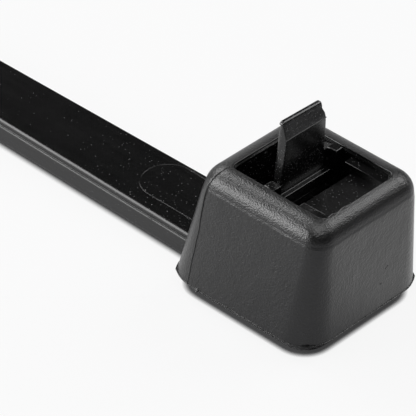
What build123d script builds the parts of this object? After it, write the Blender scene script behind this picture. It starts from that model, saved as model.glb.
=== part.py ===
"""Releasable cable tie, moulded in one piece: a tall hollow head with an upright
release lever, and a flat strap that leaves the head on one side.

Millimetres. The origin lies on the base plane, under the middle of the strap
slot. +X runs from the strap to the front of the head, +Y across the strap and
+Z up out of the head. The tail comes up through the slot, its teeth catch on
the teeth of the pawl, and the lever above the pawl pulls them apart.
"""
import os
from math import radians, tan

from build123d import *

# Head, outside
head_height = 9.2
head_length = 11.7          # along the strap, at the parting line
head_width = 10.7           # across the strap, at the parting line
head_front = 4.45           # front wall ahead of the slot, at the parting line
parting_height = 1.05
front_draft = 0.3           # degrees off upright, and so are the next four
side_draft = 7.0
back_draft = 14.8
base_draft = 28.0           # of the walls below the parting line
base_corner_radius = 2.1
top_corner_radius = 1.35
top_round = 1.3
base_round = 0.6
flash_width = 0.07
flash_thickness = 0.08

# Mouth of the head
mouth_length = 7.33
mouth_width = 6.15
mouth_front = 3.39          # front edge of the mouth ahead of the slot
mouth_radius = 0.5
rim_step = 0.1
rim_depth = 0.15

# Strap
strap_width = 4.5
strap_thickness = 1.87
neck_width = 5.3            # where the strap leaves the head
neck_length = 28.0          # over which it narrows
tie_length = 200.0
strap_ridge = 0.05          # parting ridge, proud of each side
strap_ridge_drop = 0.5      # and below the top face
strap_side_taper = 0.06
strap_edge_round = 0.15

# Teeth under the strap
tooth_pitch = 1.2
tooth_depth = 0.6
tooth_land = 0.2
smooth_length = 30.0        # plain strap between the head and the first tooth

# Tail
tail_length = 22.0
tail_step = 3.0             # over which the strap thins to the tail
tip_width = 2.4
tip_thickness = 0.9
grip_count = 8
grip_pitch = 1.5
grip_width = 0.5
grip_height = 0.12

# Slot for the tail, and what guides the tail in it
slot_gap = 1.37             # from the pawl's tooth tips to the front wall of the slot
slot_clearance = 0.2        # slot wider than the strap
slot_lead = 0.3             # chamfer where the tail goes in
well_floor = 2.3
shelf_depth = 0.96          # front shelf below the top of the head
shelf_rise = 0.2            # towards the front
rear_rib_length = 0.78
rear_rib_depth = 0.05       # below the top of the head
rear_rib_setback = 0.12     # ahead of the pawl's tooth tips
front_rib_depth = 0.4
front_rib_setback = 0.58    # behind the shelf's edge

# Pawl and release lever
pawl_clearance = 0.3        # pawl narrower than the slot, each side
pawl_depth = 1.2            # top tooth below the top of the head
pawl_tooth_depth = 0.4
pawl_teeth = 4
pawl_thickness = 0.85       # behind the roots of the teeth
hinge_height = 0.8
hinge_thickness = 0.5
lever_thickness = 0.7
lever_width = 3.8           # where it stands on the pawl
lever_top_width = 3.3
lever_height = 3.57         # above the top of the head
lever_lean = 0.08           # forward, at the ridge
lever_ridge_drop = 1.08     # front ridge below the lever's top
lever_front_bevel = 0.42
lever_back_bevel = 0.2
lever_back_drop = 0.9
lever_edge_round = 0.06     # along its top edges
lever_corner_round = 0.2    # of its top corners, seen from the front

# Places that follow from these sizes
head_back = head_front - head_length
head_middle = (head_front + head_back) / 2
draft_height = head_height - parting_height
top_front = head_front - draft_height * tan(radians(front_draft))
top_back = head_back + draft_height * tan(radians(back_draft))
top_width = head_width - 2 * draft_height * tan(radians(side_draft))
mouth_back = mouth_front - mouth_length
well_front = mouth_front - rim_step
well_back = mouth_back + rim_step
well_half_width = mouth_width / 2 - rim_step
slot_front = slot_gap / 2
slot_half_width = (strap_width + slot_clearance) / 2
tooth_tip_x = -slot_gap / 2
tooth_root_x = tooth_tip_x - pawl_tooth_depth
pawl_back_x = tooth_root_x - pawl_thickness
ledge_z = head_height - pawl_depth
tip_x = head_front - tie_length
tail_x = tip_x + tail_length
past = 1.0                  # how far a cutting shape reaches past the faces it opens


def strap_section(x, width, top_z, thickness):
    """Cross-section of the strap, upright at x, with the parting ridge on its sides."""
    half = width / 2
    base_z = top_z - thickness
    ridge_z = top_z - strap_ridge_drop
    with BuildSketch(Plane.YZ.offset(x)) as section:
        with BuildLine():
            side = Polyline(
                (0, base_z),
                (half - strap_side_taper, base_z),
                (half, ridge_z - strap_ridge),
                (half + strap_ridge, ridge_z),
                (half - strap_side_taper, top_z),
                (0, top_z),
            )
            mirror(side, about=Plane.YZ)
        make_face()
        top_corners = section.vertices().group_by(Axis.Y)[-1].group_by(SortBy.DISTANCE)[-1]
        fillet(top_corners, strap_edge_round)
    return section.sketch


# Release lever, seen from the side, then narrowed towards its top
lever_top_z = head_height + lever_height
lever_ridge_z = lever_top_z - lever_ridge_drop
lever_back_x = tooth_root_x - lever_thickness
with BuildPart() as lever:
    with BuildSketch(Plane.XZ) as lever_side:
        with BuildLine():
            Polyline(
                (tooth_root_x, ledge_z),
                (tooth_root_x + lever_lean, lever_ridge_z),
                (tooth_root_x + lever_lean - lever_front_bevel, lever_top_z),
                (lever_back_x + lever_back_bevel, lever_top_z),
                (lever_back_x, lever_top_z - lever_back_drop),
                (lever_back_x, ledge_z),
                close=True,
            )
        make_face()
        fillet(lever_side.vertices().group_by(Axis.Y)[-1], lever_edge_round)
    extrude(amount=lever_width, both=True)
    with BuildSketch(Plane.YZ) as lever_front:
        with BuildLine():
            Polyline(
                (-lever_width / 2, ledge_z),
                (lever_width / 2, ledge_z),
                (lever_top_width / 2, lever_top_z),
                (-lever_top_width / 2, lever_top_z),
                close=True,
            )
        make_face()
        fillet(lever_front.vertices().group_by(Axis.Y)[-1], lever_corner_round)
    extrude(amount=head_length, both=True, mode=Mode.INTERSECT)

# Pawl: a thin hinge on the floor of the well, then a column with teeth towards the slot
hinge_top_z = well_floor + hinge_height
pawl_width = 2 * (slot_half_width - pawl_clearance)
with BuildPart() as pawl:
    with BuildSketch(Plane.XZ):
        with BuildLine():
            Polyline(
                (tooth_root_x, ledge_z),
                (pawl_back_x, ledge_z),
                (pawl_back_x, hinge_top_z),
                (pawl_back_x + hinge_thickness / 2, well_floor),
                (pawl_back_x + hinge_thickness * 3 / 2, well_floor),
                (tooth_root_x, hinge_top_z),
                close=True,
            )
        make_face()
        with Locations([(tooth_root_x, ledge_z - tooth_pitch * n) for n in range(pawl_teeth)]):
            Polygon((0, 0), (pawl_tooth_depth, 0), (0, -tooth_pitch), align=None)
    extrude(amount=pawl_width / 2, both=True)

# The tie itself, head and strap
with BuildPart() as cable_tie:
    # Outside of the head above the parting line, with a rounded top
    with BuildSketch(Plane.XY.offset(parting_height)):
        with Locations((head_middle, 0)):
            RectangleRounded(head_length, head_width, base_corner_radius)
    with BuildSketch(Plane.XY.offset(head_height)):
        with Locations(((top_back + top_front) / 2, 0)):
            RectangleRounded(top_front - top_back, top_width, top_corner_radius)
    loft()
    fillet(cable_tie.faces().sort_by(Axis.Z)[-1].edges(), top_round)

    # Below it, down to a rounded base
    extrude(cable_tie.faces().sort_by(Axis.Z)[0], parting_height, taper=base_draft)
    fillet(cable_tie.faces().sort_by(Axis.Z)[0].edges(), base_round)

    # Thin flash where the mould halves met
    with BuildSketch(Plane.XY.offset(parting_height)):
        with Locations((head_middle, 0)):
            RectangleRounded(
                head_length + 2 * flash_width,
                head_width + 2 * flash_width,
                base_corner_radius + flash_width,
            )
    extrude(amount=flash_thickness)

    # Strap, narrowing from the head, then at one width as far as the tail
    neck_end = head_back - neck_length
    neck_root = strap_section(well_back, neck_width, strap_thickness, strap_thickness)
    neck_tip = strap_section(neck_end, strap_width, strap_thickness, strap_thickness)
    strap_end = strap_section(tail_x + tail_step, strap_width, strap_thickness, strap_thickness)
    loft([neck_root, neck_tip])
    loft([neck_tip, strap_end])

    # Tail, without teeth: it thins, then narrows to the tip
    tail_root = strap_section(tail_x, strap_width, strap_thickness, strap_thickness - tooth_depth)
    tail_tip = strap_section(tip_x, tip_width, strap_thickness, tip_thickness)
    loft([strap_end, tail_root])
    loft([tail_root, tail_tip])

    # Finger grips across the top of the tail
    with BuildSketch(Plane.XY.offset(strap_thickness)):
        with Locations([(tail_x - grip_pitch * (n + 1), 0) for n in range(grip_count)]):
            Rectangle(grip_width, tip_width)
    extrude(amount=grip_height)

    # Teeth across the underside, their upright faces towards the head
    first_tooth_x = head_back - smooth_length
    tooth_count = int((first_tooth_x - tail_x - tail_step) / tooth_pitch)
    with BuildSketch(Plane.XZ):
        with Locations([(first_tooth_x - tooth_pitch * n, 0) for n in range(tooth_count)]):
            Polygon(
                (0, 0),
                (tooth_land - tooth_pitch, tooth_depth),
                (tooth_land - tooth_pitch, -past),
                (0, -past),
                align=None,
            )
    extrude(amount=neck_width, both=True, mode=Mode.SUBTRACT)

    # Well under the mouth: deep as far as the slot, then stepped up to the front shelf
    with BuildSketch(Plane.XZ):
        with BuildLine():
            Polyline(
                (well_back, head_height + past),
                (well_back, well_floor),
                (slot_front, well_floor),
                (slot_front, head_height - shelf_depth),
                (well_front, head_height - shelf_depth + shelf_rise),
                (well_front, head_height + past),
                close=True,
            )
        make_face()
    extrude(amount=well_half_width, both=True, mode=Mode.SUBTRACT)

    # Shallow rebate round the rim of the mouth
    with BuildSketch(Plane.XY.offset(head_height - rim_depth)):
        with Locations(((mouth_front + mouth_back) / 2, 0)):
            RectangleRounded(mouth_length, mouth_width, mouth_radius)
    extrude(amount=rim_depth + past, mode=Mode.SUBTRACT)

    # Slot through the floor of the well, with a lead-in under the base
    with BuildSketch():
        Rectangle(slot_gap, 2 * slot_half_width)
    extrude(amount=well_floor, mode=Mode.SUBTRACT)
    with BuildSketch():
        Rectangle(slot_gap + 2 * slot_lead, 2 * (slot_half_width + slot_lead))
    extrude(amount=slot_lead, taper=45, mode=Mode.SUBTRACT)

    # Guide ribs on the side walls of the well, behind the slot and in front of it
    rear_rib_front = tooth_tip_x + rear_rib_setback
    rear_rib_back = rear_rib_front - rear_rib_length
    front_rib_back = slot_front - front_rib_setback
    rib_width = well_half_width - slot_half_width
    for rib_back, rib_front, rib_depth in (
        (rear_rib_back, rear_rib_front, rear_rib_depth),
        (front_rib_back, well_front, front_rib_depth),
    ):
        with BuildSketch(Plane.XY.offset(well_floor)):
            with Locations(((rib_back + rib_front) / 2, 0)):
                with GridLocations(0, 2 * slot_half_width + rib_width, 1, 2):
                    Rectangle(rib_front - rib_back, rib_width)
        extrude(amount=head_height - rib_depth - well_floor)

    add([pawl.part, lever.part])

cable_tie.part.label = "cable_tie"
os.makedirs("parts", exist_ok=True)
export_step(cable_tie.part, "parts/cable_tie.step")
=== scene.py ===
# %% [markdown]
# # A releasable cable tie, close up
# The tie is one small nylon moulding. Its tall head has a mouth on top, and out of
# the mouth stands the release lever. A flat strap leaves the head at the back. The
# whole head is as large as a fingertip, so what makes it look real is fine work: the
# eroded grain outside, the polished faces inside, edges rounded by tenths of a
# millimetre, the witness lines of the mould and a little dust.

# %% Load the frame
import math

import bmesh
import bpy
from mathutils import Matrix, Vector, noise


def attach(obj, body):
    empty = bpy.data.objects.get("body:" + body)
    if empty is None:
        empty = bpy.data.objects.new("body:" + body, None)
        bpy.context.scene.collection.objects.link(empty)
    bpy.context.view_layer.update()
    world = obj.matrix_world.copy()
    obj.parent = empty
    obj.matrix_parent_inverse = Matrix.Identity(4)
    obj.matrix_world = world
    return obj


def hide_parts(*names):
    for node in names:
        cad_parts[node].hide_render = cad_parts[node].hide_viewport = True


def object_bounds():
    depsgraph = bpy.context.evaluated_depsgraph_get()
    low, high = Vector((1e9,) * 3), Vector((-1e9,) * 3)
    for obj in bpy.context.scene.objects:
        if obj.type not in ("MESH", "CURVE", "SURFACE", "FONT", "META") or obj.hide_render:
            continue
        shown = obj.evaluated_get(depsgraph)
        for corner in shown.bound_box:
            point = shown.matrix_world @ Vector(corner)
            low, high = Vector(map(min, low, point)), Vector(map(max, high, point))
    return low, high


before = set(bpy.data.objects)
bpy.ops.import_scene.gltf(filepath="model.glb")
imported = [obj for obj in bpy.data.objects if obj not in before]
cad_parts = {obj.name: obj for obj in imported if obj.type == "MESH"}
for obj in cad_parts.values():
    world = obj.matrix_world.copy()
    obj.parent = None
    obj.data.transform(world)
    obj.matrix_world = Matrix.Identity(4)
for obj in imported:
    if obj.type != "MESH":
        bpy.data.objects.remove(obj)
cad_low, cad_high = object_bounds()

MM = 0.001
scene = bpy.context.scene
print("CAD box in mm:", [round(v / MM, 2) for v in (*cad_low, *cad_high)])

# %% [markdown]
# ## The camera
# A picture of a thing this small is taken with a long macro lens from close by. The
# camera comes first, because every later choice is judged through it. Three rotations
# could turn it, but three directions are easier to steer: where the camera looks from,
# what is right in the picture and what is up.

# %% Directions of the camera
VIEW_AZIMUTH = 43.5
VIEW_ELEVATION = 36.9
VIEW_ROLL = 0.7


def view_axes(azimuth, elevation, roll):
    """Right, up and backward directions of a camera that looks at the object."""
    a = math.radians(azimuth)
    e = math.radians(elevation)
    t = math.radians(roll)
    back = Vector((math.sin(a) * math.cos(e), -math.cos(a) * math.cos(e), math.sin(e)))
    level = Vector((math.cos(a), math.sin(a), 0))
    steep = back.cross(level)
    right = math.cos(t) * level + math.sin(t) * steep
    up = math.cos(t) * steep - math.sin(t) * level
    return right, up, back


view_right, view_up, view_back = view_axes(VIEW_AZIMUTH, VIEW_ELEVATION, VIEW_ROLL)
print("the camera looks from", [round(v, 2) for v in view_back])

# %% [markdown]
# The straight edges of the head and the strap draw together slightly in the picture,
# which gives the distance: about 200 mm from the mouth. The lens follows from the size
# that a millimetre has in the frame there. Then the camera slides sideways, until the
# middle of the mouth falls where the picture has it.

# %% Camera
FRAME_PX = 416
MOUTH_CENTRE = Vector((-0.23, 0, 9.2)) * MM
MOUTH_CENTRE_PX = (313.4, 170.6)
PX_PER_MM = 17.17
VIEW_DISTANCE = 200 * MM
SENSOR_WIDTH = 36

px = MM / PX_PER_MM
aim_right = (MOUTH_CENTRE_PX[0] - FRAME_PX / 2) * px
aim_up = (FRAME_PX / 2 - MOUTH_CENTRE_PX[1]) * px
camera_data = bpy.data.cameras.new("camera")
camera_data.sensor_width = SENSOR_WIDTH
camera_data.lens = VIEW_DISTANCE / (FRAME_PX * px) * SENSOR_WIDTH
camera_data.clip_start = 0.001
camera_data.clip_end = 10
camera = bpy.data.objects.new("camera", camera_data)
scene.collection.objects.link(camera)
camera.location = MOUTH_CENTRE + view_back * VIEW_DISTANCE - view_right * aim_right - view_up * aim_up
camera.rotation_euler = Matrix((view_right, view_up, view_back)).transposed().to_euler()
scene.camera = camera
scene.view_settings.view_transform = "Standard"
print("lens", round(camera_data.lens), "mm, camera at", [round(v / MM) for v in camera.location], "mm")

# %% [markdown]
# ## Shader maths as plain expressions
# Blender builds a material from nodes. A formula is easier to read than a net of
# nodes, so a small class wraps a socket and lets Python's own operators add the Math
# nodes. The reflected forms let a plain number stand first, as in 1 - mask.


# %% A number that varies over a surface
class Value:
    """A socket that carries a number, with Python's operators on it."""

    def __init__(self, nodes, socket):
        self.nodes = nodes
        self.socket = socket

    def _math(self, operation, *numbers):
        made = self.nodes.node("Math", {"operation": operation}, dict(enumerate(numbers)))
        return Value(self.nodes, made.outputs[0])

    def __add__(self, other):
        return self._math("ADD", self, other)

    def __radd__(self, other):
        return self._math("ADD", other, self)

    def __sub__(self, other):
        return self._math("SUBTRACT", self, other)

    def __rsub__(self, other):
        return self._math("SUBTRACT", other, self)

    def __mul__(self, other):
        return self._math("MULTIPLY", self, other)

    def __rmul__(self, other):
        return self._math("MULTIPLY", other, self)

    def __truediv__(self, other):
        return self._math("DIVIDE", self, other)

    def __rtruediv__(self, other):
        return self._math("DIVIDE", other, self)

    def __pow__(self, other):
        return self._math("POWER", self, other)

    def __rpow__(self, other):
        return self._math("POWER", other, self)

    def below(self, limit):
        return self._math("LESS_THAN", self, limit)

    def largest(self, other):
        return self._math("MAXIMUM", self, other)

    def between(self, low, high):
        """0 at low, 1 at high, straight in between and held beyond."""
        held = (self - low) * (1 / (high - low))
        held.socket.node.use_clamp = True
        return held


print("a Value turns + - * / ** into Math nodes")

# %% [markdown]
# Any other node comes from one method that takes its type, its settings and what goes
# into its sockets. It could be repeated for materials and for the world, but both are
# node trees, so they share one class.


# %% The nodes of a material or a world
class Nodes:
    """One node tree and the calls that add to it."""

    def __init__(self, tree):
        self.tree = tree

    def node(self, kind, settings=None, inputs=None):
        """Adds one node, sets it up first and then fills its sockets."""
        made = self.tree.nodes.new("ShaderNode" + kind)
        for key, value in (settings or {}).items():
            setattr(made, key, value)
        for key, value in (inputs or {}).items():
            self.feed(made.inputs[key], value)
        return made

    def feed(self, socket, value):
        """Links a wrapped value or a socket, or sets a plain one."""
        if isinstance(value, Value):
            self.tree.links.new(value.socket, socket)
        elif isinstance(value, bpy.types.NodeSocket):
            self.tree.links.new(value, socket)
        else:
            socket.default_value = value

    def value(self, socket):
        return Value(self, socket)

    def crossfade(self, share, first, second):
        """A shader that runs from the first to the second as the share goes from 0 to 1."""
        return self.node("MixShader", inputs={0: share, 1: first.outputs[0], 2: second.outputs[0]})


print("one tree class for materials and the world:", Nodes.__name__)

# %% [markdown]
# ## What the finishes are made of
# Every finish here is made of a few patterns that lie in space: soft noise, round
# craters and scattered specks. Image textures would need the surfaces unrolled. These
# patterns only ask where a point lies on the object, in millimetres, so the grain has
# its true size on every face and runs on round the corners.

# %% Patterns for finishes
MIX_FIRST_COLOUR = 6
MIX_SECOND_COLOUR = 7
MIX_COLOUR_OUT = 2


class Finish(Nodes):
    """One material under construction, with a Principled shader at its end."""

    def __init__(self, name):
        self.material = bpy.data.materials.new(name)
        self.material.use_nodes = True
        super().__init__(self.material.node_tree)
        self.shader = self.tree.nodes["Principled BSDF"]

    def surface(self, inputs):
        """Fills the Principled shader's sockets by their names."""
        for name, value in inputs.items():
            self.feed(self.shader.inputs[name], value)

    def places(self):
        """Where a point lies on the object, in millimetres."""
        where = self.node("TexCoord").outputs["Object"]
        grown = self.node("VectorMath", {"operation": "SCALE"}, {"Vector": where, "Scale": 1 / MM})
        return grown.outputs["Vector"]

    def stretched(self, vector, factors):
        made = self.node("VectorMath", {"operation": "MULTIPLY"}, {0: vector, 1: factors})
        return made.outputs["Vector"]

    def axis(self, vector, name):
        """One of the three numbers of a vector: X, Y or Z."""
        parts = self.node("SeparateXYZ", inputs={"Vector": vector})
        return self.value(parts.outputs[name])

    def speckle(self, vector, per_mm, detail=2.0, rough=0.5):
        """Soft noise from 0 to 1, with so many blobs to the millimetre."""
        made = self.node(
            "TexNoise",
            inputs={"Vector": vector, "Scale": per_mm, "Detail": detail, "Roughness": rough},
        )
        return self.value(made.outputs["Fac"])

    def pits(self, vector, per_mm):
        """Height of a field of round craters, so many to the millimetre."""
        cells = self.node("TexVoronoi", inputs={"Vector": vector, "Scale": per_mm})
        return self.value(cells.outputs["Distance"])

    def dust(self, vector, per_mm, size, share):
        """1 on round specks, of which a share of the cells hold one."""
        cells = self.node("TexVoronoi", inputs={"Vector": vector, "Scale": per_mm})
        lot = self.node("SeparateColor", inputs={"Color": cells.outputs["Color"]})
        chosen = self.value(lot.outputs["Red"]).below(share)
        speck = self.value(lot.outputs["Green"]) * size
        return self.value(cells.outputs["Distance"]).below(speck) * chosen

    def mix(self, mask, low, high):
        """Colour that runs from low to high as the mask goes from 0 to 1."""
        colours = {"Factor": mask, MIX_FIRST_COLOUR: low, MIX_SECOND_COLOUR: high}
        return self.node("Mix", {"data_type": "RGBA"}, colours).outputs[MIX_COLOUR_OUT]

    def relief(self, height, depth):
        """Normal of a surface raised by height times depth, in millimetres."""
        made = self.node("Bump", inputs={"Height": height, "Distance": depth * MM, "Strength": 1.0})
        return made.outputs["Normal"]


def grey(level):
    """A grey with a trace of blue, as carbon black gives to nylon."""
    return (level, level, level * 1.02, 1)


print("patterns:", [pattern.__name__ for pattern in (Finish.speckle, Finish.pits, Finish.dust)])

# %% [markdown]
# ## Eroded grain
# The outside of the head is satin. Its mould was spark eroded, which leaves the steel
# covered in tiny craters, and the nylon copies them. On the broad round and the top
# they stand side by side like sand and sparkle. On the walls they are dragged soft,
# because the walls slide along the steel when the part leaves the mould, and the
# nylon's shrinking adds slow waves. Two materials would leave a hard line between
# them, so one has both, and the height above the base chooses. Its index is set a
# little above nylon's own, which brings the walls up to the tone of the picture.

# %% Finish of the head's outside
ROUND_STARTS = 7.95
WAVES_PER_MM = 0.7
CRATERS_PER_MM = 4.5
GRIT_PER_MM = 9.0
SAND_PER_MM = 11.0
CLOUDS_PER_MM = 0.35
GRAIN_DEPTH = 0.03
GRAINED_IOR = 1.57


def eroded_grain(name):
    finish = Finish(name)
    where = finish.places()
    waves = finish.speckle(where, WAVES_PER_MM)
    craters = finish.speckle(where, CRATERS_PER_MM, detail=3.0, rough=0.6)
    grit = finish.speckle(where, GRIT_PER_MM, detail=1.0)
    clouds = finish.speckle(where, CLOUDS_PER_MM, detail=3.0)
    sand = finish.pits(where, SAND_PER_MM)
    on_round = finish.axis(where, "Z").between(ROUND_STARTS - 0.08, ROUND_STARTS + 0.12)
    on_walls = 1 - on_round
    # Each pattern's weight is how deep it is beside the others
    height = (waves * 1.6 + craters * 0.9 + grit * 0.45) * on_walls + (sand * 0.5 + grit * 0.3) * on_round
    finish.surface(
        {
            "Base Color": finish.mix(clouds, grey(0.004), grey(0.008)),
            "Roughness": 0.33 - craters * 0.08 + on_round * 0.04,
            "Normal": finish.relief(height, GRAIN_DEPTH),
            "IOR": GRAINED_IOR,
        }
    )
    return finish.material


grained = eroded_grain("eroded_black_nylon")
print("made", grained.name, "with", len(grained.node_tree.nodes), "nodes")

# %% [markdown]
# ## Polished nylon
# Inside the mouth and along the strap the mould was polished, so the nylon shines.
# It isn't a mirror: the flow of the melt leaves faint streaks along the strap. Static
# draws dust, which shows as pale specks on the black, and most of it lies near the
# head, where hands have been. A speckled picture could be laid on, but specks that are
# drawn by lot from cells in space stay round on every face. The strap's rounded edge
# is duller than its flat top, and the lever, which a thumb wears, is only satin.

# %% Finish of the strap and the inside
NYLON_IOR = 1.53
STRAP_THICK = 1.87
EDGE_DULL_BELOW = 1.80
DUST_TONE = 0.13
DUST_KINDS = ((1.6, 0.06), (6.0, 0.20), (13.0, 0.34))
DUST_STARTS_X = -20.0
DUST_FULL_X = -8.0
STREAK_DEPTH = 0.006


def dust_specks(finish, where, share):
    """Specks of three sizes, which grow rare away from the head."""
    near_head = finish.axis(where, "X").between(DUST_STARTS_X, DUST_FULL_X)
    share = (near_head * 0.85 + 0.15) * share
    large, middling, small = [finish.dust(where, per_mm, size, share) for per_mm, size in DUST_KINDS]
    return large.largest(middling).largest(small)


def polished_nylon(name, level, roughness, streak, dust_share, edge_dulling=0.0):
    """Shiny nylon; streak says how much finer its streaks are along X, Y and Z."""
    finish = Finish(name)
    where = finish.places()
    streaks = finish.speckle(finish.stretched(where, streak), 1.0, detail=4.0, rough=0.6)
    haze = finish.speckle(where, 0.8, detail=3.0)
    specks = dust_specks(finish, where, dust_share)
    rough = roughness + streaks * 0.10 + haze * 0.05 + specks * 0.3
    if edge_dulling:
        rough = rough + finish.axis(where, "Z").between(STRAP_THICK, EDGE_DULL_BELOW) * edge_dulling
    finish.surface(
        {
            "Base Color": finish.mix(specks, grey(level), grey(DUST_TONE)),
            "Roughness": rough,
            "Normal": finish.relief(streaks + specks * 0.6, STREAK_DEPTH),
            "IOR": NYLON_IOR,
        }
    )
    return finish.material


strap_shine = polished_nylon(
    "polished_strap_nylon",
    level=0.002,
    roughness=0.12,
    streak=(0.25, 4.0, 4.0),
    dust_share=0.12,
    edge_dulling=0.15,
)
inner_shine = polished_nylon(
    "polished_inner_nylon",
    level=0.002,
    roughness=0.14,
    streak=(0.3, 5.0, 5.0),
    dust_share=0.14,
)
lever_satin = polished_nylon(
    "satin_lever_nylon",
    level=0.003,
    roughness=0.19,
    streak=(6.0, 6.0, 6.0),
    dust_share=0.5,
)
print("made", [material.name for material in (strap_shine, inner_shine, lever_satin)])

# %% [markdown]
# ## Putting a piece into the scene
# The whole tie is one body, so every piece rides on the same one and is made of the
# same nylon. Sizes are written in millimetres, and a mesh is scaled to metres only
# when it is done. Smooth shading stops at edges that are sharper than an angle, which
# keeps small bevels round and flat faces flat.


# %% Helper for pieces
def add_piece(name, mesh, materials, sharp_angle):
    """Puts a mesh given in millimetres into the scene, shaded smooth up to an angle."""
    mesh.transform(Matrix.Scale(MM, 4))
    for material in materials:
        mesh.materials.append(material)
    mesh.polygons.foreach_set("use_smooth", [True] * len(mesh.polygons))
    mesh.set_sharp_from_angle(angle=math.radians(sharp_angle))
    piece = bpy.data.objects.new(name, mesh)
    scene.collection.objects.link(piece)
    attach(piece, "root")
    print(name, "has", len(mesh.polygons), "faces")
    return piece


def finished_mesh(name, shape):
    """Turns a built shape into a mesh."""
    mesh = bpy.data.meshes.new(name)
    shape.to_mesh(mesh)
    shape.free()
    return mesh


# %% [markdown]
# ## Skinning rings
# Most of the tie is made of levels: stacked outlines with the same number of points,
# joined into quads. That is how a draughtsman lofts a hull. Cutting a box with other
# boxes would work too, but it leaves ragged faces along each cut. Rings give even
# quads, so the rounded edges catch the light cleanly, and a skin can turn back on
# itself, which makes the mouth, the well and the slot part of the same skin as the
# outside.

# %% Rounded outlines
CORNER_STEPS = 10
SIDE_STEPS = 10


def outline(back, front, half_width, radii, z_back, z_side, z_front, steps=(CORNER_STEPS, SIDE_STEPS)):
    """Rounded rectangle seen from above, whose back, sides and front may differ in height."""
    corner_steps, side_steps = steps
    heights = (z_front, z_side, z_back, z_side, z_front)
    front_radius, back_radius = radii if isinstance(radii, tuple) else (radii, radii)
    centres = (
        (front - front_radius, half_width - front_radius, front_radius),
        (back + back_radius, half_width - back_radius, back_radius),
        (back + back_radius, back_radius - half_width, back_radius),
        (front - front_radius, front_radius - half_width, front_radius),
    )
    arcs = []
    for corner, (x, y, radius) in enumerate(centres):
        arc = []
        for step in range(corner_steps + 1):
            share = step / corner_steps
            angle = math.radians(90 * (corner + share))
            z = heights[corner] * (1 - share) + heights[corner + 1] * share
            arc.append(Vector((x + radius * math.cos(angle), y + radius * math.sin(angle), z)))
        arcs.append(arc)
    ring = []
    for corner, arc in enumerate(arcs):
        following = arcs[(corner + 1) % 4][0]
        ring += arc
        ring += [arc[-1].lerp(following, step / side_steps) for step in range(1, side_steps)]
    return ring


def level_outline(back, front, half_width, radius, z):
    return outline(back, front, half_width, radius, z, z, z)


print("points on a ring of the head:", len(level_outline(-1, 1, 1, 0.1, 0)))

# %% [markdown]
# The rings are joined in their order. A lever is closed at both ends. The head has no
# ends: its last ring, in the slot, joins its first ring, under the base.


# %% Helper for skins
def skin(name, rings, looped=False, finishes=None):
    """Joins rings of equally many points. The ends are closed, or the last joins the first."""
    shape = bmesh.new()
    rows = [[shape.verts.new(point) for point in ring] for ring in rings]
    count = len(rows[0])
    bands = len(rows) if looped else len(rows) - 1
    for band in range(bands):
        lower = rows[band]
        upper = rows[(band + 1) % len(rows)]
        for i in range(count):
            j = (i + 1) % count
            face = shape.faces.new((lower[i], lower[j], upper[j], upper[i]))
            face.material_index = finishes[band] if finishes else 0
    if not looped:
        shape.faces.new(rows[0][::-1])
        shape.faces.new(rows[-1])
    bmesh.ops.recalc_face_normals(shape, faces=shape.faces)
    return finished_mesh(name, shape)


print("quads between two rings of the head:", 4 * (CORNER_STEPS + SIDE_STEPS))

# %% [markdown]
# ## Fine raised lines
# A mould leaves thin raised lines wherever two of its parts meet. Each is a bead: a
# small round-backed section carried along a path on the surface, sunk a little into
# it. Bump could draw such a line too, but a real bead also stands out at the edges
# of the part, and it stays when the mesh is used without its material.

# %% Helper for beads
BEAD_PROFILE = ((-0.5, -0.6), (-0.42, 0.35), (-0.22, 0.85), (0, 1), (0.22, 0.85), (0.42, 0.35), (0.5, -0.6))
BEAD_SHARP = 50


def bead(name, path, outward, width, height, finish):
    """A raised line along a path in millimetres; outward is one direction or one per point."""
    directions = outward if isinstance(outward, list) else [outward] * len(path)
    rings = []
    for i, (point, up) in enumerate(zip(path, directions)):
        along = (path[min(i + 1, len(path) - 1)] - path[max(i - 1, 0)]).normalized()
        across = along.cross(up).normalized()
        rings.append([point + across * (a * width) + up * (b * height) for a, b in BEAD_PROFILE])
    return add_piece(name, skin(name, rings), (finish,), BEAD_SHARP)


print("points round a bead:", len(BEAD_PROFILE))

# %% [markdown]
# ## The head
# The head is a cup. Its four walls lean by different drafts, because the mould half
# that made the strap side drew away at a steeper angle. One skin runs from the slot
# under the base, out over the rounded foot, past the thin flash at the parting line,
# up the walls, over the broad top round to the rim, down into the well, across the
# front shelf, and through the floor back into the slot.

# %% Sizes of the head, in millimetres
HEAD_HEIGHT = 9.2
PARTING_HEIGHT = 1.05
HEAD_FRONT = 4.45
HEAD_BACK = -7.25
HEAD_HALF = 5.325
FRONT_DRAFT = 0.3
SIDE_DRAFT = 7.0
BACK_DRAFT = 14.8
BASE_DRAFT = 37.0
BASE_CORNER = 2.1
TOP_CORNER = 1.0
TOP_ROUND = 1.3
FOOT_ROUND = 0.6

MOUTH_FRONT = 3.39
MOUTH_BACK = -3.94
MOUTH_HALF = 3.075
MOUTH_CORNER = 0.5
RIM_STEP = 0.1
RIM_DEPTH = 0.15
LIP_ROUND = 0.05

SLOT_HALF_GAP = 0.685
SLOT_HALF = 2.35
SLOT_LEAD = 0.3
SLOT_CORNER = 0.1

DRAFT_HEIGHT = HEAD_HEIGHT - PARTING_HEIGHT


def leaning(height, draft):
    """How far a wall has leaned in at a height above where it starts."""
    return height * math.tan(math.radians(draft))


TOP_FRONT = HEAD_FRONT - leaning(DRAFT_HEIGHT, FRONT_DRAFT)
TOP_BACK = HEAD_BACK + leaning(DRAFT_HEIGHT, BACK_DRAFT)
TOP_HALF = HEAD_HALF - leaning(DRAFT_HEIGHT, SIDE_DRAFT)
print("top of the head before rounding:", round(TOP_BACK, 2), round(TOP_FRONT, 2), round(TOP_HALF, 2))

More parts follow.
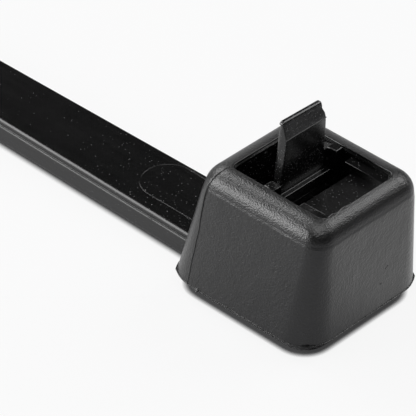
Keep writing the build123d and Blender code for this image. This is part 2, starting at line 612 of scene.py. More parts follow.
# %% [markdown]
# ## The foot and the flash
# Below the parting line the walls lean in steeply to a small round, so that the head
# stands on its base and not on the flash. A bevel could round that edge, but the round
# is worked out here with the walls' own drafts, because the broad top round needs the
# same sum.


# %% Foot
def round_step(radius, draft, turn):
    """Place on the round between a leaning wall and a flat: in from their corner, and below the flat."""
    reach = radius * math.tan(math.radians(90 - draft) / 2)
    angle = math.radians(draft + turn * (90 - draft))
    return reach - radius * math.cos(angle), radius - radius * math.sin(angle)


def foot_levels(steps=6):
    """From the edge of the lead-in, over the base and its round, up to the parting line."""
    levels = []
    base_in = leaning(PARTING_HEIGHT, BASE_DRAFT)
    flat_in = base_in + round_step(FOOT_ROUND, BASE_DRAFT, 1)[0]
    for share in (0.0, 0.5, 1.0):
        back = -(SLOT_HALF_GAP + SLOT_LEAD) * (1 - share) + (HEAD_BACK + flat_in) * share
        front = (SLOT_HALF_GAP + SLOT_LEAD) * (1 - share) + (HEAD_FRONT - flat_in) * share
        half = (SLOT_HALF + SLOT_LEAD) * (1 - share) + (HEAD_HALF - flat_in) * share
        radius = SLOT_CORNER * (1 - share) + (BASE_CORNER - base_in) * share
        levels.append(level_outline(back, front, half, radius, 0))
    for step in range(steps - 1, -1, -1):
        inset, rise = round_step(FOOT_ROUND, BASE_DRAFT, step / steps)
        inset += base_in
        radius = BASE_CORNER - inset * 0.8
        levels.append(
            level_outline(HEAD_BACK + inset, HEAD_FRONT - inset, HEAD_HALF - inset, radius, rise)
        )
    return levels


foot = foot_levels()
print("levels of the foot:", len(foot))

# %% [markdown]
# Where the mould halves meet, a thin uneven fin of nylon creeps out. It is part of the
# same skin: two rings pushed out by noise, and by more at the corners, where the
# halves fit worst.

# %% Flash on the parting line
FLASH_OUT = 0.06
FLASH_THICK = 0.06
FLASH_RAGGED_PER_MM = 1.7
FLASH_CORNER_X = 5.3
FLASH_CORNER_Y = 4.7
FLASH_CORNER_OUT = 0.12


def flash_levels():
    levels = []
    for out, z in (
        (0.0, PARTING_HEIGHT - FLASH_THICK / 2),
        (1.0, PARTING_HEIGHT - FLASH_THICK / 3),
        (1.0, PARTING_HEIGHT + FLASH_THICK / 3),
        (0.0, PARTING_HEIGHT + FLASH_THICK / 2),
    ):
        ring = level_outline(HEAD_BACK, HEAD_FRONT, HEAD_HALF, BASE_CORNER, z)
        middle = Vector((HEAD_BACK + HEAD_FRONT, 0, 2 * z)) / 2
        for point in ring:
            outward = (point - middle).normalized()
            ragged = 0.6 + 0.4 * noise.noise(point * FLASH_RAGGED_PER_MM)
            off_corner = abs(abs(point.x - middle.x) - FLASH_CORNER_X) + abs(abs(point.y) - FLASH_CORNER_Y)
            at_corner = (1 - min(off_corner, 1)) ** 2
            point += outward * ((FLASH_OUT * ragged + FLASH_CORNER_OUT * at_corner) * out)
        levels.append(ring)
    return levels


fin = flash_levels()
print("the flash stands out to", round(max(point.x for ring in fin for point in ring), 2), "mm in front")

# %% [markdown]
# ## Walls and broad round
# The round over the top edge is what the lamps draw bright bands on. The mouth cuts
# into it at the front, so there it ends early, and the rim is lower in front than at
# the sides. A fillet can't end early, but a ring may have its own height at the back,
# the sides and the front.

# %% Walls and top round
WALL_STARTS = PARTING_HEIGHT + 0.1
WALL_RISE = 6.2
WALL_STEPS = 8


def wall_level(height):
    """Outline of the drafted walls at a height above the base."""
    rise = height - PARTING_HEIGHT
    share = rise / DRAFT_HEIGHT
    return level_outline(
        HEAD_BACK + leaning(rise, BACK_DRAFT),
        HEAD_FRONT - leaning(rise, FRONT_DRAFT),
        HEAD_HALF - leaning(rise, SIDE_DRAFT),
        BASE_CORNER * (1 - share) + TOP_CORNER * share,
        height,
    )


def turn_to_reach(radius, draft, inset):
    """The turn at which the round has come in by inset, or the whole turn."""
    reach = radius * math.tan(math.radians(90 - draft) / 2)
    if inset >= reach:
        return 1.0
    angle = math.degrees(math.acos((reach - inset) / radius))
    return (angle - draft) / (90 - draft)


def top_round_levels(steps=12):
    """Over the broad round to the mouth, and how low the round ends at the front."""
    ends = (
        turn_to_reach(TOP_ROUND, BACK_DRAFT, MOUTH_BACK - TOP_BACK - LIP_ROUND),
        turn_to_reach(TOP_ROUND, SIDE_DRAFT, TOP_HALF - MOUTH_HALF - LIP_ROUND),
        turn_to_reach(TOP_ROUND, FRONT_DRAFT, TOP_FRONT - MOUTH_FRONT - LIP_ROUND),
    )
    drafts = (BACK_DRAFT, SIDE_DRAFT, FRONT_DRAFT)
    levels = []
    for step in range(steps + 1):
        places = [round_step(TOP_ROUND, draft, end * step / steps) for draft, end in zip(drafts, ends)]
        (back_in, back_drop), (side_in, side_drop), (front_in, front_drop) = places
        levels.append(
            outline(
                TOP_BACK + back_in,
                TOP_FRONT - front_in,
                TOP_HALF - side_in,
                max(TOP_CORNER + 0.2 - side_in * 0.5, MOUTH_CORNER + LIP_ROUND),
                HEAD_HEIGHT - back_drop,
                HEAD_HEIGHT - side_drop,
                HEAD_HEIGHT - front_drop,
            )
        )
    return levels, front_drop


walls = [wall_level(WALL_STARTS + WALL_RISE * step / WALL_STEPS) for step in range(WALL_STEPS + 1)]
crown, front_drop = top_round_levels()
print("the rim is", round(front_drop, 2), "mm lower in front")

# %% [markdown]
# ## Mouth, well and slot
# The rim has a fine rounded lip and a shallow rebate. Inside, the sloping shelf in
# front guides the strap's end back to the slot, and behind it the well drops to the
# floor. It is the same skin, turned inwards. A solid cut from the head would need its
# edges rounded afterwards.

# %% Mouth
RIM_EASE = 0.02
LIP_STEPS = 4


def mouth_outline(inset, drop):
    """The mouth's edge, drawn in and lowered. Its front lies lower all the way."""
    return outline(
        MOUTH_BACK + inset,
        MOUTH_FRONT - inset,
        MOUTH_HALF - inset,
        MOUTH_CORNER - inset,
        HEAD_HEIGHT - drop,
        HEAD_HEIGHT - drop,
        HEAD_HEIGHT - front_drop - drop,
    )


lip = []
for step in range(LIP_STEPS + 1):
    angle = math.radians(90 * step / LIP_STEPS)
    lip.append(mouth_outline(-LIP_ROUND * (1 - math.sin(angle)), LIP_ROUND * (1 - math.cos(angle))))
rebate = [
    mouth_outline(0.0, RIM_DEPTH - RIM_EASE),
    mouth_outline(RIM_EASE, RIM_DEPTH),
    mouth_outline(RIM_STEP - RIM_EASE, RIM_DEPTH),
    mouth_outline(RIM_STEP, RIM_DEPTH + RIM_EASE),
]
print("levels of the lip and the rebate:", len(lip), len(rebate))

# %% [markdown]
# The shelf is made of rings whose front edge moves back while they sink, so its slope
# runs on into the well's front wall without a seam.

# %% Well and slot
WELL_FLOOR = 2.3
WELL_HALF = MOUTH_HALF - RIM_STEP
WELL_CORNER = 0.12
SHELF_EDGE = 0.685
SHELF_DEPTH = 0.96
SHELF_RISE = 0.2
SHELF_CORNER = 0.4


def well_levels():
    """Across the sloping shelf, down the deep part and through the floor to the slot."""
    back = MOUTH_BACK + RIM_STEP
    front = MOUTH_FRONT - RIM_STEP
    low = HEAD_HEIGHT - SHELF_DEPTH
    high = low + SHELF_RISE
    levels = [level_outline(back, front, WELL_HALF, SHELF_CORNER, high + 0.06)]
    for share in (0.0, 0.03, 0.25, 0.5, 0.75, 0.97, 1.0):
        z = high * (1 - share) + low * share
        radius = SHELF_CORNER * (1 - share) + WELL_CORNER * share
        levels.append(level_outline(back, front * (1 - share) + SHELF_EDGE * share, WELL_HALF, radius, z))
    for z in (low - 0.04, low - 0.3, 6.5, 4.5, WELL_FLOOR + 0.2, WELL_FLOOR):
        levels.append(level_outline(back, SHELF_EDGE, WELL_HALF, WELL_CORNER, z))
    for share in (0.5, 1.0):
        levels.append(
            outline(
                back * (1 - share) - SLOT_HALF_GAP * share,
                SHELF_EDGE,
                WELL_HALF * (1 - share) + SLOT_HALF * share,
                WELL_CORNER,
                WELL_FLOOR,
                WELL_FLOOR,
                WELL_FLOOR - 0.1 * share,
            )
        )
    for z in (WELL_FLOOR - 0.2, SLOT_LEAD + 0.2, SLOT_LEAD):
        levels.append(level_outline(-SLOT_HALF_GAP, SLOT_HALF_GAP, SLOT_HALF, SLOT_CORNER, z))
    return levels


well = well_levels()
print("levels from the shelf to the slot:", len(well))

# %% [markdown]
# ## The head in one skin
# All levels are joined in their order. The bands outside have the grain and the bands
# inside the shine. They change where the lip starts, as on the mould, where the eroded
# cavity ends and the polished core begins.

# %% Head
outside = foot + fin + walls + crown
rings = outside + lip + rebate + well
head_finishes = [0 if band < len(outside) else 1 for band in range(len(rings))]
head = add_piece("head_shell", skin("head_shell", rings, True, head_finishes), (grained, inner_shine), 40)
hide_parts("cable_tie")

# %% [markdown]
# ## Witness lines on the head
# A slide of the mould made the strap side of the head. Where it met the body it left
# a thin line on each side wall, up the wall and over the round. The line is nearly
# straight, but the slide leans as the back wall does, so it is drawn through a few
# places and follows the wall's draft and the round by the same sums as the skin.

# %% The slide's line
SEAM_LINE = ((PARTING_HEIGHT, -5.23), (2.7, -5.09), (4.9, -4.81), (6.8, -4.73), (ROUND_STARTS, -4.55))
SEAM_TOP_X = -3.95
SEAM_WAVER = 0.015
SEAM_WIDTH = 0.09
SEAM_HEIGHT = 0.03


def line_at(points, z):
    """Straight interpolation through (z, value) pairs."""
    for (z0, v0), (z1, v1) in zip(points, points[1:]):
        if z <= z1:
            return v0 + (v1 - v0) * (z - z0) / (z1 - z0)
    return points[-1][1]


def seam(side, wall_steps=15, round_steps=8):
    """Path of the line and the direction in which it stands out. It fades over the round."""
    lean = math.radians(SIDE_DRAFT)
    path = []
    outward = []
    for step in range(wall_steps + 1):
        z = PARTING_HEIGHT + (ROUND_STARTS - PARTING_HEIGHT) * step / wall_steps
        x = line_at(SEAM_LINE, z) + SEAM_WAVER * math.sin(4 * z)
        path.append(Vector((x, side * (HEAD_HALF - leaning(z - PARTING_HEIGHT, SIDE_DRAFT)), z)))
        outward.append(Vector((0, side * math.cos(lean), math.sin(lean))))
    for step in range(1, round_steps + 1):
        turn = step / round_steps
        inset, drop = round_step(TOP_ROUND, SIDE_DRAFT, turn)
        angle = math.radians(SIDE_DRAFT + turn * (90 - SIDE_DRAFT))
        x = SEAM_LINE[-1][1] * (1 - turn) + SEAM_TOP_X * turn
        path.append(Vector((x, side * (TOP_HALF - inset), HEAD_HEIGHT - drop)))
        outward.append(Vector((0, side * math.cos(angle), math.sin(angle))) * (0.35 - 0.15 * turn))
    return path, outward


for side, side_name in ((-1, "near"), (1, "far")):
    bead(f"mould_seam_{side_name}", *seam(side), SEAM_WIDTH, SEAM_HEIGHT, grained)

# %% [markdown]
# The near side of the parting line has a nub and a few nicks, where the fin tore when
# the runner was broken off. Two faint marks lie on the front wall. All are beads too.
# The torn ones swell in the middle, because their direction outwards is given a
# length.

# %% Nub, nicks and marks
TEAR_STEPS = 5
MARK_WIDTH = 0.06
MARK_HEIGHT = 0.03

# Where each starts and ends on the parting line, how far it stands out, and its width
tears = {
    "flash_nub": ((-4.5, -5.33), (-4.28, -5.34), 0.22, 0.14),
    "flash_nick_a": ((3.35, -4.95), (3.62, -4.82), 0.1, 0.06),
    "flash_nick_b": ((3.72, -4.76), (3.95, -4.6), 0.12, 0.05),
    "flash_nick_c": ((-1.2, -5.33), (-0.7, -5.33), 0.08, 0.04),
}
tear_outward = Vector((0.15, -1, -0.25)).normalized()
for name, (start, end, height, width) in tears.items():
    start = Vector((*start, PARTING_HEIGHT))
    end = Vector((*end, PARTING_HEIGHT))
    path = [start.lerp(end, step / (TEAR_STEPS - 1)) for step in range(TEAR_STEPS)]
    swell = [math.sin(math.pi * (step + 0.5) / TEAR_STEPS) for step in range(TEAR_STEPS)]
    bead(name, path, [tear_outward * share for share in swell], width, height, grained)

wall_marks = (((4.42, 1.35, 3.7), (4.42, 1.6, 3.9)), ((4.43, 0.96, 2.8), (4.43, 1.08, 2.86)))
for i, ends in enumerate(wall_marks):
    start, end = [Vector(place) for place in ends]
    path = [start, start.lerp(end, 0.5), end]
    bead(f"wall_mark_{i}", path, Vector((1, 0, 0)), MARK_WIDTH, MARK_HEIGHT, grained)

# %% [markdown]
# ## Release lever
# The lever is a thin paddle with a bevelled, rounded top. A thumb pushes it back to
# free the strap, and this one stands with a slight lean to the far side. A bevelled
# box would be too stiff, so it is skinned from rings as well: two lines in profile
# give its front and back at each height, a third one its width, and the lean and the
# nick on its far edge shift the points sideways.

# %% Lines of the lever
TOOTH_TIP = -0.685
TOOTH_DEPTH = 0.4
TOOTH_ROOT = TOOTH_TIP - TOOTH_DEPTH
LEDGE = 8.0
LEVER_BACK = TOOTH_ROOT - 0.7
LEVER_TOP = 12.77
LEVER_RIDGE = 11.69
LEVER_SHOULDER = 11.87
LEVER_HALF = 1.9
LEVER_TOP_HALF = 1.65
LEVER_NEAR_CORNER = 0.2
LEVER_FAR_CORNER = 0.1

front_line = ((LEDGE, TOOTH_ROOT), (LEVER_RIDGE, TOOTH_ROOT + 0.08), (LEVER_TOP, TOOTH_ROOT - 0.31))
back_line = ((LEDGE, LEVER_BACK), (LEVER_SHOULDER, LEVER_BACK), (LEVER_TOP, LEVER_BACK + 0.14))
side_line = ((LEDGE, LEVER_HALF), (LEVER_TOP, LEVER_TOP_HALF))
# The far edge was nicked just above the ridge, and the nylon bulged out beside the nick
nick_line = ((11.5, -0.06), (11.7, 0), (11.85, 0.02), (12.02, 0.03))
nick_line += ((12.17, -0.02), (12.33, -0.06), (12.5, 0), (12.8, 0.03))
print("the lever is", round(LEVER_TOP - LEDGE, 2), "mm tall and", 2 * LEVER_HALF, "mm wide")

# %% [markdown]
# Near its top the lever gets finer rings, because the bevel's corners, the nick and
# the rounded top need them. Lower down it is plain, and a ring every half millimetre
# or so will do.

# %% Release lever
LEVER_SWAY = 0.15
SWAY_STARTS = 9.0
SWAY_RISE = 2.6
LEVER_RADII = (0.06, 0.3)
TIP_RADII = (0.06, 0.07)
TIP_STARTS = 12.5
LEVER_STEPS = (4, 6)
LEVER_TOP_ROUND = 0.12
LEVER_TOP_SLOPE = 0.036
SLOPE_STARTS = 11.9
TOP_ROUND_STEPS = 5
LEVER_LEVELS = (LEDGE - 0.1, 8.6, 9.2, 9.8, 10.4, 11.0, 11.5, 11.66, 11.69, 11.72, 11.78, 11.9)
LEVER_LEVELS += (12.0, 12.15, 12.22, 12.28, 12.34, 12.38, 12.42, 12.5, 12.58, 12.63)


def corner_loss(z, radius):
    """How much a rounded top corner takes off the half width at one height."""
    above = max(z - (LEVER_TOP - radius), 0)
    return radius - math.sqrt(max(radius**2 - above**2, 0))


def sway(z):
    """How far the lever has leaned to the far side, with a soft start and end."""
    climb = min(max((z - SWAY_STARTS) / SWAY_RISE, 0), 1)
    return LEVER_SWAY * climb * climb * (3 - 2 * climb)


def lever_ring(z, front_inset=0.0, back_inset=0.0):
    """The lever's outline at one height."""
    back = line_at(back_line, z) + back_inset
    front = line_at(front_line, z) - front_inset
    radii = TIP_RADII if z > TIP_STARTS else LEVER_RADII
    ring = outline(back, front, line_at(side_line, z), radii, z, z, z, LEVER_STEPS)
    for point in ring:
        if point.y > 0:
            point.y -= corner_loss(z, LEVER_FAR_CORNER)
            if z > nick_line[0][0]:
                point.y += line_at(nick_line, z)
        else:
            point.y += corner_loss(z, LEVER_NEAR_CORNER)
        point.z -= LEVER_TOP_SLOPE * max(z - SLOPE_STARTS, 0) * (point.y + LEVER_TOP_HALF)
        point.y += sway(z)
    return ring


lever_rings = [lever_ring(z) for z in LEVER_LEVELS]
for step in range(TOP_ROUND_STEPS + 1):
    angle = math.radians(90 * step / TOP_ROUND_STEPS)
    drop = LEVER_TOP_ROUND * (1 - math.sin(angle))
    turned = 1 - math.cos(angle)
    lever_rings.append(lever_ring(LEVER_TOP - drop, 0.1 * turned, 0.03 * turned))
add_piece("release_lever", skin("release_lever", lever_rings), (lever_satin,), 30)

# %% [markdown]
# Where the bevel starts, the lever has a fine raised line that catches the light. It
# is a bead along that corner, wavering by a hundredth of a millimetre.

# %% The line under the lever's bevel
RIDGE_STEPS = 12

ridge_path = []
for step in range(RIDGE_STEPS + 1):
    share = step / RIDGE_STEPS
    y = -LEVER_HALF * 0.9 + share * (LEVER_HALF * 1.8) + sway(LEVER_RIDGE)
    ridge_path.append(Vector((line_at(front_line, LEVER_RIDGE), y, LEVER_RIDGE + 0.01 * math.sin(7 * share))))
bead("lever_ridge", ridge_path, Vector((0.97, 0, 0.25)), width=0.07, height=0.02, finish=inner_shine)

# %% [markdown]
# ## Pawl
# The lever stands on the pawl, a column with saw teeth towards the slot. A thin web at
# its foot is the hinge. It could be skinned, but it has one profile all the way
# across, so the profile is given a width and its edges are bevelled. The ribs and the
# grips on the tail are made in the same way.


# %% Helper for slabs
def slab(name, profile, low_y, high_y, bevel, finish):
    """A profile in the XZ plane given a width along Y, with its edges bevelled."""
    shape = bmesh.new()
    near = [shape.verts.new((x, low_y, z)) for x, z in profile]
    far = [shape.verts.new((x, high_y, z)) for x, z in profile]
    count = len(profile)
    shape.faces.new(near)
    shape.faces.new(far[::-1])
    for i in range(count):
        j = (i + 1) % count
        shape.faces.new((near[j], near[i], far[i], far[j]))
    bmesh.ops.recalc_face_normals(shape, faces=shape.faces)
    bmesh.ops.bevel(
        shape,
        geom=list(shape.edges),
        offset=bevel,
        segments=2,
        profile=0.5,
        affect="EDGES",
        clamp_overlap=True,
    )
    return add_piece(name, finished_mesh(name, shape), (finish,), 20)


print("slabs are given their width along Y")

# %% [markdown]
# The tips of the lower teeth are hooked up a little, so that they mirror the dark well
# and not a lamp. The two corners of the ledge on top are drawn by beads, because there
# the moulding has a crisp raised edge.

# %% Pawl
UP = Vector((0, 0, 1))
TOOTH_PITCH = 1.2
TOOTH_HOOK = 0.08
PAWL_TEETH = 4
PAWL_BACK = -1.935
PAWL_HALF = 2.05
HINGE_TOP = 3.1
HINGE_THICK = 0.5
SUNK_FOOT = WELL_FLOOR - 0.1

pawl_profile = [(PAWL_BACK, LEDGE)]
for tooth in range(PAWL_TEETH):
    top = LEDGE - tooth * TOOTH_PITCH
    pawl_profile.append((TOOTH_TIP, top + (TOOTH_HOOK if tooth else 0)))
    pawl_profile.append((TOOTH_ROOT, top - TOOTH_PITCH))
pawl_profile += [
    (PAWL_BACK + HINGE_THICK * 1.5, SUNK_FOOT),
    (PAWL_BACK + HINGE_THICK * 0.5, SUNK_FOOT),
    (PAWL_BACK, HINGE_TOP),
]
slab("pawl", pawl_profile, -PAWL_HALF, PAWL_HALF, bevel=0.012, finish=inner_shine)
for place, x in (("front", TOOTH_TIP - 0.04), ("rear", TOOTH_ROOT + 0.06)):
    edge = [Vector((x + 0.008 * math.sin(9 * y), y, LEDGE)) for y in [step / 2 for step in range(-4, 5)]]
    bead(f"pawl_edge_{place}", edge, UP, width=0.08, height=0.03, finish=inner_shine)

# %% [markdown]
# ## Guide ribs
# Two pairs of ribs stand on the side walls of the well. They keep the strap's tail
# in the middle. The rear pair is tall, and the front pair ends lower, so that its
# tops form narrow ledges beside the shelf. On the near side the front rib has not
# filled to its full length.

# %% Guide ribs
REAR_RIB = (-1.345, -0.565, HEAD_HEIGHT - 0.05)
FRONT_RIB = (0.105, MOUTH_FRONT - RIM_STEP + 0.05, HEAD_HEIGHT - 0.4)
NEAR_FRONT_RIB = (1.185, *FRONT_RIB[1:])
REAR_RIB_BEVEL = 0.05
FRONT_RIB_BEVEL = 0.02
INTO_WALL = 0.05


def rib(name, back, front, top, side, bevel):
    """A rib from the side of the slot into the wall."""
    low_y, high_y = sorted((side * SLOT_HALF, side * (WELL_HALF + INTO_WALL)))
    profile = [(back, SUNK_FOOT), (front, SUNK_FOOT), (front, top), (back, top)]
    slab(name, profile, low_y, high_y, bevel, inner_shine)


for side, side_name in ((-1, "near"), (1, "far")):
    rib(f"rear_guide_rib_{side_name}", *REAR_RIB, side, REAR_RIB_BEVEL)
    front_rib = NEAR_FRONT_RIB if side < 0 else FRONT_RIB
    rib(f"front_guide_rib_{side_name}", *front_rib, side, FRONT_RIB_BEVEL)

# %% [markdown]
# ## Flash and webs inside the mouth
# Inside, the mould has many small cores, and each leaves a thread of flash where it
# meets the next one: on the rim, along the near front rib and round the top of the
# far rear rib. A small web stands behind that rib, and a tick sticks out from the edge
# of the shelf. The longer threads aren't straight, so their paths waver by a few
# hundredths of a millimetre.

# %% Flash and webs inside the mouth
FIN_HEIGHT = 8.79
NEAR_FIN_Y = -2.33
RIM_FLASH_STEPS = 14
FRONT_RIM_FROM = -2.75
FRONT_RIM_LENGTH = 1.9
FAR_RIM_STEPS = 12
FAR_RIB_CORNER = Vector((-0.62, 2.4, REAR_RIB[2]))

rib_fin = []
for x in (1.19, 1.6, 2.0, 2.4, 2.9):
    rib_fin.append(Vector((x, NEAR_FIN_Y + 0.01 * math.sin(5 * x), FIN_HEIGHT + 0.02 * math.sin(3 * x))))
bead("near_rib_fin", rib_fin, UP, width=0.06, height=0.07, finish=inner_shine)
rib_end = [Vector((1.2, y, FIN_HEIGHT)) for y in (-2.36, -2.6, -2.85)]
bead("near_rib_end_fin", rib_end, UP, width=0.06, height=0.05, finish=inner_shine)

front_rim = []
for step in range(RIM_FLASH_STEPS + 1):
    y = FRONT_RIM_FROM + FRONT_RIM_LENGTH * step / RIM_FLASH_STEPS
    x = MOUTH_FRONT - 0.05 + 0.035 * math.sin(6 * y)
    front_rim.append(Vector((x, y, HEAD_HEIGHT - front_drop - 0.12)))
bead("front_rim_flash", front_rim, Vector((-0.5, 0, 0.85)), width=0.05, height=0.06, finish=inner_shine)
far_rim = []
for step in range(FAR_RIM_STEPS + 1):
    z = HEAD_HEIGHT - 0.22 + 0.03 * math.sin(2.3 * step)
    far_rim.append(Vector((-0.4 + 0.3 * step, MOUTH_HALF - 0.03, z)))
bead("far_rim_flash", far_rim, Vector((0, -0.8, 0.6)), width=0.06, height=0.05, finish=inner_shine)

rib_side = [FAR_RIB_CORNER + Vector((x, 0, 0)) for x in (-0.45, -0.2, 0)]
bead("far_rib_edge_side", rib_side, UP, width=0.12, height=0.05, finish=inner_shine)
rib_front = [FAR_RIB_CORNER + Vector((0, y, 0)) for y in (0, 0.25, 0.5)]
bead("far_rib_edge_front", rib_front, UP, width=0.12, height=0.05, finish=inner_shine)
tick = [(0.25, 8.17), (0.72, 8.17), (0.72, 8.24), (0.25, 8.2)]
slab("shelf_tick", tick, -0.91, -0.85, bevel=0.01, finish=inner_shine)
web = [(-1.9, 8.3), (-1.3, 8.3), (-1.3, 9.08), (-1.9, 9.0)]
slab("far_rib_web", web, 1.95, 2.9, bevel=0.04, finish=inner_shine)

# %% [markdown]
# ## The strap
# The strap leaves the back wall a little wider than it runs on. Each side carries the
# parting ridge of the mould, a hair proud, with a fine groove under it. The upper edge
# is rounded, but the round ends in a faint crease before it reaches the flat top. A
# bevelled box couldn't have all that, so the strap is a section carried along a line.

# %% Section of the strap
EDGE_ROUND = 0.27
EDGE_TURN = 58
EDGE_SETBACK = 0.05
EDGE_STEPS = 6
# How far out from the half width and how far up from the underside
LOWER_EDGE = ((-0.20, 0), (-0.14, 0.02), (-0.09, 0.08))
# How far out from the half width and how far up from the ridge's crest
RIDGE_PROFILE = ((0, -0.14), (-0.01, -0.11), (-0.02, -0.08), (0.02, -0.05), (0.04, -0.02))
RIDGE_PROFILE += ((0.04, 0), (-0.005, 0.06), (-0.07, 0.09), (-0.07, 0.14))


def section(x, half_width, low, high):
    """Points round the strap at x, from under its middle round the far side."""
    crest = high - min(0.5, (high - low) * 0.5)
    foot_z = low + min(0.3, (high - low) * 0.25)
    side = [(half_width * 0.5, low)]
    side += [(half_width + out, low + up) for out, up in LOWER_EDGE]
    side.append((half_width - 0.03, foot_z))
    side += [(half_width + out, crest + up) for out, up in RIDGE_PROFILE]
    radius = EDGE_ROUND / math.sin(math.radians(EDGE_TURN))
    for step in range(EDGE_STEPS + 1):
        angle = math.radians(EDGE_TURN * step / EDGE_STEPS)
        across = half_width - EDGE_SETBACK - radius * (1 - math.cos(angle))
        side.append((across, high - EDGE_ROUND + radius * math.sin(angle)))
    side.append((half_width * 0.5, high))
    around = [(0.0, low)] + side + [(0.0, high)] + [(-y, z) for y, z in reversed(side)]
    return [Vector((x, y, z)) for y, z in around]


print("points round the strap:", len(section(0, 1, 0, 1)))

# %% [markdown]
# Underneath are the teeth that the pawl locks into, and at the end the strap thins
# out to a tapered tail. A tooth is three sections: one where the valley is deepest,
# one straight below it, and one where the next valley starts.

# %% Strap
STRAP_HALF = 2.25
NECK_HALF = 2.65
NECK_LENGTH = 28.0
SMOOTH_LENGTH = 30.0
VALLEY_DEPTH = 0.6
TOOTH_LAND = 0.2
TOOTH_FACE = 0.005
TAIL_LENGTH = 22.0
TAIL_STEP = 3.0
TIP_X = cad_low.x / MM
TIP_HALF = 1.2
TIP_THICK = 0.9


def strap_sections():
    neck_start = MOUTH_BACK - 0.3
    neck_end = HEAD_BACK - NECK_LENGTH
    teeth_start = HEAD_BACK - SMOOTH_LENGTH
    tail_start = TIP_X + TAIL_LENGTH
    sections = [
        section(neck_start, NECK_HALF, 0, STRAP_THICK),
        section(HEAD_BACK, NECK_HALF, 0, STRAP_THICK),
        section(neck_end, STRAP_HALF, 0, STRAP_THICK),
        section(teeth_start, STRAP_HALF, 0, STRAP_THICK),
    ]
    teeth = int((teeth_start - tail_start - TAIL_STEP) / TOOTH_PITCH)
    for tooth in range(teeth):
        valley = teeth_start - tooth * TOOTH_PITCH - (TOOTH_PITCH - TOOTH_LAND)
        sections.append(section(valley, STRAP_HALF, VALLEY_DEPTH, STRAP_THICK))
        sections.append(section(valley - TOOTH_FACE, STRAP_HALF, 0, STRAP_THICK))
        sections.append(section(valley - TOOTH_LAND, STRAP_HALF, 0, STRAP_THICK))
    sections += [
        section(tail_start + TAIL_STEP, STRAP_HALF, 0, STRAP_THICK),
        section(tail_start, STRAP_HALF, VALLEY_DEPTH, STRAP_THICK),
        section(TIP_X + 0.15, TIP_HALF + 0.02, STRAP_THICK - TIP_THICK, STRAP_THICK),
        section(TIP_X, TIP_HALF - 0.1, STRAP_THICK - TIP_THICK + 0.1, STRAP_THICK - 0.1),
    ]
    print("teeth under the strap:", teeth)
    return sections


add_piece("strap", skin("strap", strap_sections()), (strap_shine,), 30)

# %% [markdown]
# Behind the head an insert in the mould left its outline on the strap: two straight
# lines that come out from under the head, joined by a half round. It is so low that
# only its glint shows. A small blip stands on the strap's near ridge.

# %% Witness line of an insert on the strap
INSERT_NEAR_Y = -1.37
INSERT_FAR_Y = 2.2
INSERT_END_X = -14.2
UNDER_HEAD = 1.0
ARC_STEPS = 24


def insert_outline():
    """Along the strap, round its end and back, as far as the head."""
    radius = (INSERT_FAR_Y - INSERT_NEAR_Y) / 2
    middle = (INSERT_FAR_Y + INSERT_NEAR_Y) / 2
    path = [Vector((HEAD_BACK + UNDER_HEAD, INSERT_NEAR_Y, STRAP_THICK))]
    for step in range(ARC_STEPS + 1):
        angle = math.radians(-90 - 180 * step / ARC_STEPS)
        x = INSERT_END_X + radius + radius * math.cos(angle)
        path.append(Vector((x, middle + radius * math.sin(angle), STRAP_THICK)))
    path.append(Vector((HEAD_BACK + UNDER_HEAD, INSERT_FAR_Y - 0.12, STRAP_THICK)))
    return path


bead("insert_witness", insert_outline(), UP, width=0.06, height=0.009, finish=strap_shine)
blip = [Vector((x, -STRAP_HALF - 0.36, STRAP_THICK - 0.5)) for x in (-11.15, -11.0, -10.85)]
bead("ridge_blip", blip, Vector((0, -1, 0.3)), width=0.1, height=0.05, finish=strap_shine)

# %% [markdown]
# The tail has a row of low bars across it, so that fingers can pull it. Each is a
# slab with leaning sides, sunk a little into the strap.

# %% Finger grips on the tail
GRIP_COUNT = 8
GRIP_PITCH = 1.5
GRIP_SINK = 0.1
GRIP_RISE = 0.12
GRIP_FOOT = 0.25
GRIP_TOP = 0.18

for grip in range(GRIP_COUNT):
    x = TIP_X + TAIL_LENGTH - GRIP_PITCH * (grip + 1)
    bar = [
        (x - GRIP_FOOT, STRAP_THICK - GRIP_SINK),
        (x + GRIP_FOOT, STRAP_THICK - GRIP_SINK),
        (x + GRIP_TOP, STRAP_THICK + GRIP_RISE),
        (x - GRIP_TOP, STRAP_THICK + GRIP_RISE),
    ]
    slab(f"tail_grip_{grip}", bar, -TIP_HALF, TIP_HALF, bevel=0.03, finish=strap_shine)

# %% [markdown]
# ## The table
# The tie lies on a white table that runs out of sight. Its white comes from what the
# camera sees of it, not from more light, so the black nylon keeps its own tone. Two
# patterns of light and shade are painted on it. Where the nylon touches the table, a
# shadow is painted over the last half millimetre, worked out from how much of the sky
# a point sees. And for the walls' reflections the table glows in a painted pattern:
# bright close to the head, brighter on the right, and dark towards the viewer. That
# painted dark patch is what gives the front corner of the head its dark band.

# %% Table
FLOOR_REACH = 1.5

floor_mesh = bpy.data.meshes.new("floor")
corners = [(-1, -1), (1, -1), (1, 1), (-1, 1)]
floor_mesh.from_pydata([(x * FLOOR_REACH, y * FLOOR_REACH, 0) for x, y in corners], [], [(0, 1, 2, 3)])
floor = bpy.data.objects.new("floor", floor_mesh)
scene.collection.objects.link(floor)
print("table of", FLOOR_REACH * 2, "m")

# %% [markdown]
# What the walls mirror could be left to white cards standing round the head, but cards
# throw shadows and show in other views. Here the table itself glows for mirrored rays
# only, a painted reflection that changes with the place on it: how far from the head,
# on which side, and whether towards the viewer.

# %% The table's finish
HEAD_MIDDLE_X = -1.4
TOWARDS_VIEWER = (0.5, -0.866)
GLEAM_REACH = 34
GLEAM_REACH_LESS = 15
CONTACT_SHADE_REACH = 0.5
WALL_SHADE_REACH = 4.0
SEEN_WHITE = 0.88
WHITE = (1, 1, 1, 1)


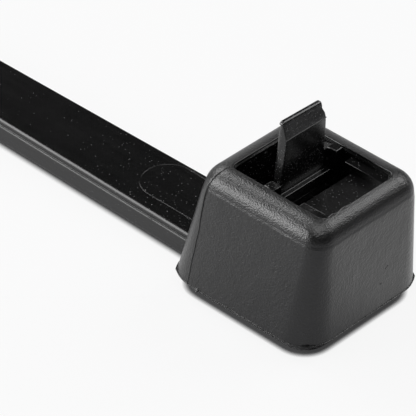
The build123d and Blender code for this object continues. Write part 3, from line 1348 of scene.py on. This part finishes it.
def painted_table_glow(finish):
    """The painted glow that the walls mirror from the table, from 0 to 1, by the place on it."""
    where = finish.places()
    right = finish.axis(where, "X") - HEAD_MIDDLE_X
    back = finish.axis(where, "Y")
    away = (right * right + back * back) ** 0.5
    facing_viewer = (right * TOWARDS_VIEWER[0] + back * TOWARDS_VIEWER[1]) / away
    on_right = (right / away).between(-0.7, 0.3)
    reach = GLEAM_REACH - on_right * GLEAM_REACH_LESS
    lit = (away / reach).between(1.7, 0.8)
    # Painted dark straight towards the viewer, weaker on the left, and gone beyond the reach
    return facing_viewer.between(0.9, 0.2) * (0.7 + on_right * 0.3) * lit


def sky_seen(finish, reach, samples):
    """How much of its surroundings within reach a point of the table has free, from 0 to 1."""
    made = finish.node("AmbientOcclusion", {"samples": samples}, {"Distance": reach * MM})
    return finish.value(made.outputs["AO"])


def white_table(name):
    finish = Finish(name)
    finish.surface({"Base Color": grey(0.45), "Roughness": 0.8})
    rays = finish.node("LightPath")
    seen = finish.value(rays.outputs["Is Camera Ray"])
    mirrored = finish.value(rays.outputs["Is Glossy Ray"])
    foot_sky = sky_seen(finish, CONTACT_SHADE_REACH, 16)
    wall_sky = sky_seen(finish, WALL_SHADE_REACH, 8)
    # Painted contact shadow: the paper's white darkens where little sky is free next to the nylon
    shaded = finish.mix(foot_sky.between(0.45, 0.95), grey(0.05), WHITE)
    paper_with_painted_shadow = finish.node("Emission", inputs={"Color": shaded, "Strength": 1.0})
    painted_glow = finish.node("Emission", inputs={"Color": WHITE, "Strength": 1.0})
    # Painted glow for mirrored rays only, with painted shade where it comes close to the foot
    painted_glow_share = mirrored * painted_table_glow(finish) * wall_sky.between(0.3, 0.85)
    in_walls = finish.crossfade(painted_glow_share, finish.shader, painted_glow)
    in_view = finish.crossfade(seen * SEEN_WHITE, in_walls, paper_with_painted_shadow)
    finish.feed(finish.tree.nodes["Material Output"].inputs["Surface"], in_view.outputs[0])
    return finish.material


floor_mesh.materials.append(white_table("white_table"))
print("made", floor_mesh.materials[0].name)

# %% [markdown]
# ## The room
# Behind the table the room is a pale backdrop for the camera alone. For all other rays
# it stays nearly dark, or the shiny strap would mirror it and turn grey.

# %% World
ROOM_LIGHT = 0.02
BACKDROP = (0.8, 0.8, 0.8, 1)

world = bpy.data.worlds.new("studio")
world.use_nodes = True
scene.world = world
sky = Nodes(world.node_tree)
room = sky.tree.nodes["Background"]
sky.feed(room.inputs["Color"], WHITE)
sky.feed(room.inputs["Strength"], ROOM_LIGHT)
backdrop = sky.node("Background", inputs={"Color": BACKDROP, "Strength": 1.0})
camera_ray = sky.node("LightPath").outputs["Is Camera Ray"]
surroundings = sky.crossfade(camera_ray, room, backdrop)
sky.feed(sky.tree.nodes["World Output"].inputs["Surface"], surroundings.outputs[0])
print("room light", ROOM_LIGHT)

# %% [markdown]
# ## The lamps
# A glossy black thing has hardly any colour of its own. What the eye reads as its
# shape is the lamps' reflections, so each lamp is placed for what it draws. The one at
# the left and the low one at the front left draw the bright band along the near round
# together, and the low one also gives the near wall its tone and the strap's edge its
# line. The one at the back right draws the band on the front round and the lines on
# the pawl. The weak one behind rims the two far edges of the head and puts a sheen on
# the shelf, and the one overhead lights the walls and the table evenly and rounds off
# the corner between the two bands.

# %% Lamps
LAMP_DISTANCE = 400
HEAD_MIDDLE_Z = 5


def softbox(name, azimuth, elevation, size, power):
    """A square lamp that faces the head, by its direction from there in degrees."""
    a = math.radians(azimuth)
    e = math.radians(elevation)
    direction = Vector((math.cos(a) * math.cos(e), math.sin(a) * math.cos(e), math.sin(e)))
    data = bpy.data.lights.new(name, "AREA")
    data.shape = "SQUARE"
    data.size = size * MM
    data.energy = power
    lamp = bpy.data.objects.new(name, data)
    scene.collection.objects.link(lamp)
    lamp.location = (direction * LAMP_DISTANCE + Vector((0, 0, HEAD_MIDDLE_Z))) * MM
    lamp.rotation_euler = direction.to_track_quat("Z", "Y").to_euler()


# Direction round the head and above the table in degrees, size in millimetres, power in watts
softbox("left_softbox", 180, 40, 220, 0.97)
softbox("back_right_softbox", 70, 42, 260, 0.92)
softbox("front_left_softbox", -133, 14, 260, 1.72)
softbox("back_edge_softbox", 133, 10, 220, 0.14)
softbox("overhead_softbox", -46, 76, 300, 0.8)
